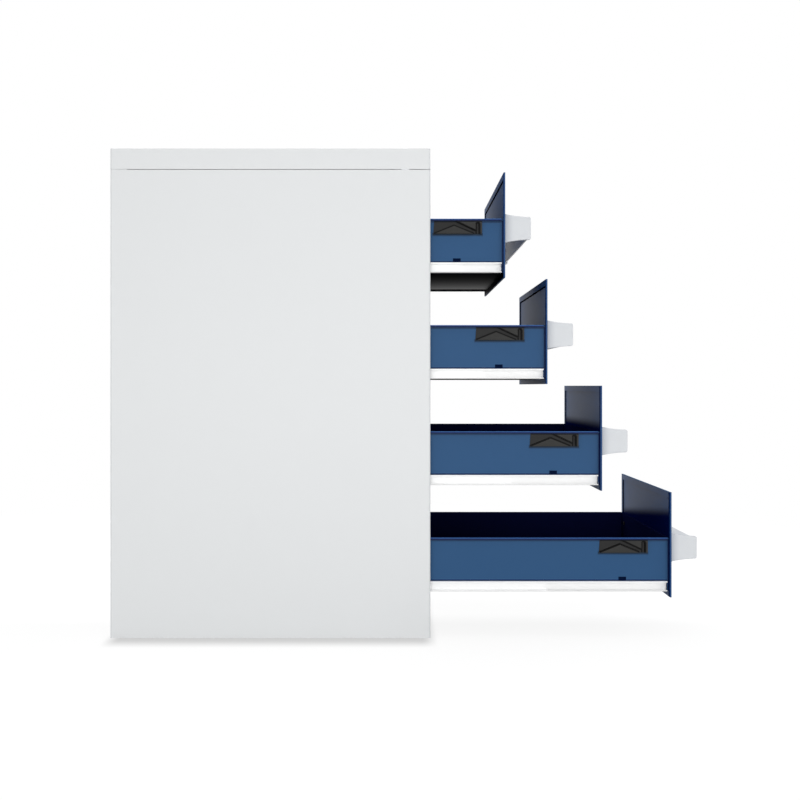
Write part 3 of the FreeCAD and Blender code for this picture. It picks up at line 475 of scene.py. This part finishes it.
# Painted sheen on the back: more towards the right, and on the lower fronts towards the left too.
left_sheen, right_gain, lower_gain, lower_left_gain, lowest_left_gain = 0.75, 0.85, 0.12, 0.36, 0.2
sheen = left_sheen + right_gain * far
sheen = sheen + (lower_gain + lower_left_gain * near) * (1.0 - highest)
sheen = sheen + lowest_left_gain * near * (1.0 - upper)
sheen = sheen * (1.0 - dark) * (1.0 - side_lip) * (1.0 - lip_loss * lip_shade)
sheen = sheen * (1.0 - below_tray * (1.0 - low_sheen * far))
shine_where(tree, shader, 1.0 - back * (1.0 - sheen))
for number in drawers:
    dress(front_coat, f"drawer_front_{number}")

# ---- cam plates -------------------------------------------------------------------------------
# Dark nylon mouldings with a track and a slot for the lock bar's pins. The track's floor is
# painted darker than the raised faces as shade, and lines of painted shade draw every edge of it.


def near_line(tree, along, up, start, end, width):
    """1 on a line between two places on a plate, fading out over its width."""
    full_part = 0.4
    run, climb = end[0] - start[0], end[1] - start[1]
    length = run * run + climb * climb
    share = ((along - start[0]) * (run / length) + (up - start[1]) * (climb / length))
    share = (share & 1.0) | 0.0
    off = (along - start[0] - share * run).math("POWER", 2.0)
    rise = (up - start[1] - share * climb).math("POWER", 2.0)
    return (off + rise).math("SQRT").fall(width * full_part, width)


cam_length, cam_height = cam_high.y - cam_low.y, cam_high.z - cam_low.z
cam_top = cam_high.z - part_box("drawer_front_1")[0].z
cam_colour, cam_darker, cam_gloss = linear(56, 56, 55), linear(50, 50, 49), 0.5
cam_black, tree, shader, where, tone = moulded_plastic(
    "cam_nylon", cam_colour, cam_darker, cam_gloss, shine=0.10
)
x, y, z = in_drawer(tree, where)
along, up = y - cam_start, z - cam_top
track_floor, track_shade_colour, line_shade_colour = -0.2166, linear(45, 45, 45), linear(1, 1, 1)
tone = blend_colours(tree, x > track_floor, tone, track_shade_colour)

# The edges, as places along the plate from its front and up from its top, with their widths.
ramp_peak, ramp_foot = (cam_length - 0.039, -0.008), 0.001 - cam_height
slot_front, slot_rear, slot_top = 0.0047, 0.0108, -0.0058
edges = (
    ((cam_length - 0.0408, 0.0), (0.0126, -0.0178), 0.0024),
    ((cam_length - 0.0018, ramp_foot), ramp_peak, 0.0020),
    (ramp_peak, (0.0159, ramp_foot), 0.0020),
    ((slot_front, slot_top), (slot_front, -cam_height), 0.0026),
    ((slot_rear, slot_top), (slot_rear, -cam_height), 0.0020),
)
slot_middle, slot_radius = (0.00795, -0.00585), 0.0029
slot_end_width, slot_end_low = (0.0010, 0.0022), -0.0060
ahead, above = along - slot_middle[0], up - slot_middle[1]
from_middle = (ahead.math("POWER", 2.0) + above.math("POWER", 2.0)).math("SQRT")
shade_lines = abs(from_middle - slot_radius).fall(*slot_end_width) & (up > slot_end_low)
for start, end, width in edges:
    shade_lines = shade_lines | near_line(tree, along, up, start, end, width)
tone = blend_colours(tree, shade_lines, tone, line_shade_colour)

# The tray's rim shades the top of the plate.
rim_shade, rim_shade_strength, rim_shade_colour = (-0.0026, -0.0016), 0.95, linear(4, 10, 22)
tone = blend_colours(tree, up.rise(*rim_shade) * rim_shade_strength, tone, rim_shade_colour)
feed(tree, shader, "Base Color", tone)
for number in drawers:
    dress(cam_black, f"cam_plate_{number}")

# ---- grips ------------------------------------------------------------------------------------
# Light grey bars, extruded as a hood that is open below and screwed on through the front. The
# fingers reach in from below. Inside, the hood is painted a warm grey that lightens towards the
# right as painted light, with a painted blue reflection of the front near it.

grip_colour, grip_darker, grip_gloss = linear(214, 217, 220), linear(209, 212, 216), 0.5
grip_grey, tree, shader, where, tone = moulded_plastic(
    "grip_plastic", grip_colour, grip_darker, grip_gloss
)
x, y, z = in_drawer(tree, where)
nose_inside, hood_root, hood_fall = 0.0443, 0.1146, 0.126
inside = (y > -nose_inside) & ((z - hood_fall * y) < hood_root)
grip_ends, left_grey, right_grey = (-0.22, 0.21), linear(215, 214, 213), linear(250, 248, 246)
shade = blend_colours(tree, x.rise(*grip_ends), left_grey, right_grey)
# Painted reflection of the blue front, inside the hood near the front.
reflection_behind, reflection_above, reflection_across = (-0.016, -0.004), (0.085, 0.095), (0.0, 0.1)
reflection_colour = linear(66, 116, 196)
blue_reflection = y.rise(*reflection_behind) * z.rise(*reflection_above) * x.fall(*reflection_across)
shade = blend_colours(tree, blue_reflection, shade, reflection_colour)
feed(tree, shader, "Base Color", blend_colours(tree, inside, tone, shade))
for number in drawers:
    dress(grip_grey, f"grip_{number}")

# ---- grip caps --------------------------------------------------------------------------------
# Moulded ends pushed into the grips by a tongue. They stand a little proud of the bars all
# round, with hollow upper and lower edges, round nose corners and softened rims.

cap_thickness, cap_reach, cap_middle, cap_steps = 0.006, 0.04899, 0.093, 14
cap_root, cap_nose, cap_hollow = 0.027, 0.02125, 0.0014
cap_corner, cap_rim = 0.0040, 0.0009
tongue_size, tongue_behind, tongue_above = (0.008, 0.030, 0.008), 0.022, 0.0085
root_fade, root_shade_colour, root_strength = (-0.018, 0.0), linear(180, 184, 190), 0.8
same_place, along_x, flat_side, sharp_angle = 1e-6, 0.99, 0.999, 1
cap_grey, tree, shader, where, tone = moulded_plastic(
    "cap_plastic", grip_colour, grip_darker, grip_gloss
)
# Painted shade darkens each cap towards the front, which keeps light off it.
root_shade = in_drawer(tree, where)[1].rise(*root_fade) * root_strength
feed(tree, shader, "Base Color", blend_colours(tree, root_shade, tone, root_shade_colour))


def make_caps(number):
    """Both caps of one grip, as one mesh."""
    low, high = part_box(f"grip_caps_{number}")
    face, bottom = high.y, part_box(f"drawer_front_{number}")[0].z
    shape = bmesh.new()
    for side in (-1, 1):
        outer = low.x if side < 0 else high.x
        inner = outer - side * cap_thickness
        plate = bmesh.ops.create_grid(shape, x_segments=cap_steps, y_segments=1, size=0.5)["verts"]
        for vert in plate:
            share = vert.co.x + 0.5
            half = cap_root + (cap_nose - cap_root) * share - 4 * cap_hollow * share * (1 - share)
            height = bottom + cap_middle + half * (1 if vert.co.y > 0 else -1)
            vert.co = Vector((inner, face - cap_reach * share, height))
        quads = [quad for quad in shape.faces if all(vert in plate for vert in quad.verts)]
        grown = bmesh.ops.extrude_face_region(shape, geom=quads)["geom"]
        moved = [part for part in grown if isinstance(part, bmesh.types.BMVert)]
        bmesh.ops.translate(shape, verts=moved, vec=(outer - inner, 0, 0))
        nose = face - cap_reach
        corners = [
            edge
            for vert in moved
            for edge in vert.link_edges
            if abs(edge.verts[0].co.y - nose) < same_place
            and abs(edge.verts[1].co.y - nose) < same_place
            and abs(edge.verts[0].co.x - edge.verts[1].co.x) > same_place
        ]
        round_off(shape, corners, cap_corner, 8)
    bmesh.ops.recalc_face_normals(shape, faces=shape.faces)
    flat = [
        edge
        for edge in shape.edges
        if len(edge.link_faces) == 2
        and all(abs(side_face.normal.x) > along_x for side_face in edge.link_faces)
    ]
    bmesh.ops.dissolve_edges(shape, edges=flat)
    rims = [
        edge
        for edge in shape.edges
        if abs(edge.verts[0].co.x - edge.verts[1].co.x) < same_place
        and edge.calc_face_angle(0) > sharp_angle
    ]
    round_off(shape, rims, cap_rim, 3)
    for side in (-1, 1):
        root = (low.x if side < 0 else high.x) - side * cap_thickness
        tongue = bmesh.ops.create_cube(shape, size=1)["verts"]
        bmesh.ops.scale(shape, verts=tongue, vec=tongue_size)
        across = root - side * tongue_size[0] / 2
        place = (across, face - tongue_behind, bottom + cap_middle + tongue_above)
        bmesh.ops.translate(shape, verts=tongue, vec=place)
    name = f"round_grip_caps_{number}"
    caps = new_piece(shape, name, cap_grey, f"drawer_{number}")
    for polygon in caps.data.polygons:
        polygon.use_smooth = abs(polygon.normal.x) < flat_side
    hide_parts(f"grip_caps_{number}")


for number in drawers:
    make_caps(number)

# ---- drawer screws ----------------------------------------------------------------------------
# Pan-head steel screws, rolled and then blackened. On each drawer four go through the tray's
# front wall into the front, and two through the front into the grip.

screw_colour, screw_gloss = (0.02, 0.02, 0.025, 1.0), 0.6
black_steel = plated_steel("blackened_steel", screw_colour, screw_gloss)
for number in drawers:
    dress(black_steel, f"drawer_screws_{number}")

# ---- floor ------------------------------------------------------------------------------------
# White studio paper. It glows to the camera, so that only a faint shade lies under the open
# drawers, and a painted shadow, a dark line with a soft edge, lies along the foot of the body.

floor_size, floor_drop = 60, 0.0004
bpy.ops.mesh.primitive_plane_add(size=floor_size)
floor = bpy.context.object
floor.name = "studio_floor"
floor.location.z = -floor_drop
material = bpy.data.materials.new("studio_paper")
material.use_nodes = True
tree = material.node_tree
tree.nodes.clear()
where = add_node(tree, "ShaderNodeTexCoord", output="Object")
x, y = coords(tree, where)[:2]
body_low, body_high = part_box("side_panel_left")
# Painted shadow along the foot of the body, and painted light lifting the paper to the right.
beside_fade, front_fade, rear_fade = (0.008, 0.088), (-0.018, 0.018), (-0.022, 0.014)
beside = (abs(x) + body_low.x).fall(*beside_fade)
between = y.rise(body_low.y + front_fade[0], body_low.y + front_fade[1])
between = between * y.fall(body_high.y + rear_fade[0], body_high.y + rear_fade[1])
paper_glow, right_glow, foot_shade, right_fade = 0.90, 0.075, 0.37, (-0.115, 0.02)
strength = paper_glow + x.rise(*right_fade) * right_glow - beside * between * foot_shade
white, paper_grey, bounce_grey = (1, 1, 1, 1), (0.12, 0.12, 0.12, 1), (0.66, 0.66, 0.66, 1)
glow = add_node(tree, "ShaderNodeEmission", None, {"Color": white, "Strength": strength})
paper = add_node(tree, "ShaderNodeBsdfDiffuse", None, {"Color": paper_grey})
shown = add_node(tree, "ShaderNodeAddShader", None, [paper, glow])
plain = add_node(tree, "ShaderNodeEmission", None, {"Color": white, "Strength": 1.0})
plain_from = (1.2, 2.2)
away = add_node(tree, "ShaderNodeVectorMath", {"operation": "LENGTH"}, [where], output=1)
shown = add_node(tree, "ShaderNodeMixShader", None, [away.rise(*plain_from), shown, plain])
bounce = add_node(tree, "ShaderNodeBsdfDiffuse", None, {"Color": bounce_grey})


def seen_directly(tree):
    """1 on rays from the camera, also by way of a mirror or glass, and 0 on the others."""
    path = tree.nodes.new("ShaderNodeLightPath")
    rays = ("Is Camera Ray", "Is Glossy Ray", "Is Transmission Ray")
    camera, glossy, through = (Wire(tree, path.outputs[ray]) for ray in rays)
    return camera | glossy | through


cover = add_node(tree, "ShaderNodeMixShader", None, [seen_directly(tree), bounce, shown])
output = tree.nodes.new("ShaderNodeOutputMaterial")
tree.links.new(cover.socket, output.inputs[0])
floor.data.materials.append(material)

# ---- light ------------------------------------------------------------------------------------
# A plain white studio: an even glow from all round, and large soft boxes at the left, low
# down, behind, above and in front. The mirror image of the room in the coats stays plain white.

room_glow = 0.57
world = bpy.data.worlds.new("studio")
bpy.context.scene.world = world
world.use_nodes = True
tree = world.node_tree
tree.nodes.clear()
soft = add_node(tree, "ShaderNodeBackground", None, {"Color": white, "Strength": room_glow})
plain = add_node(tree, "ShaderNodeBackground", None, {"Color": white, "Strength": 1.0})
cover = add_node(tree, "ShaderNodeMixShader", None, [seen_directly(tree), soft, plain])
output = tree.nodes.new("ShaderNodeOutputWorld")
tree.links.new(cover.socket, output.inputs[0])


def soft_box(name, spot, target, size, power):
    """A rectangular lamp that looks at a target. Its size is in metres, its power in watts."""
    lamp = bpy.data.lights.new(name, "AREA")
    lamp.shape = "RECTANGLE"
    lamp.size, lamp.size_y = size
    lamp.energy = power
    lamp_object = bpy.data.objects.new(name, lamp)
    bpy.context.scene.collection.objects.link(lamp_object)
    lamp_object.location = spot
    aim = Vector(target) - Vector(spot)
    lamp_object.rotation_euler = aim.to_track_quat("-Z", "Y").to_euler()


soft_box("left_soft_box", (-4.5, -0.6, 1.25), (0, -0.4, 0.85), (4.5, 2.3), 52)
soft_box("low_soft_box", (-3.2, -0.7, 0.30), (0, -0.5, 0.0), (4.5, 0.5), 21)
soft_box("rear_soft_box", (3.2, 4.2, 2.0), (0.1, 0.1, 0.5), (3.5, 3.0), 34)
soft_box("top_soft_box", (0.3, -0.4, 3.8), (0, -0.2, 0.4), (3.5, 3.5), 46)
soft_box("front_soft_box", (0.6, -4.2, 2.2), (0, -0.2, 0.5), (3.5, 3.0), 36)

# ---- camera -----------------------------------------------------------------------------------
# Level with the middle of the cabinet and square to its left side, with a short portrait lens.
# The lens is shifted a little across and down instead of being turned.

lens_pixels, frame_pixels, shift_right, shift_down = 1128.8, 800, 6, 14
camera_place, sensor_size = (-2.341, -0.2318, 0.4724), 36
camera = bpy.data.cameras.new("camera")
camera.sensor_width = sensor_size
camera.lens = camera.sensor_width * lens_pixels / frame_pixels
camera.shift_x = shift_right / frame_pixels
camera.shift_y = -shift_down / frame_pixels
camera_object = bpy.data.objects.new("camera", camera)
bpy.context.scene.collection.objects.link(camera_object)
camera_object.location = camera_place
camera_object.rotation_euler = (math.pi / 2, 0, -math.pi / 2)
bpy.context.scene.camera = camera_object
bpy.context.scene.view_settings.view_transform = "Standard"
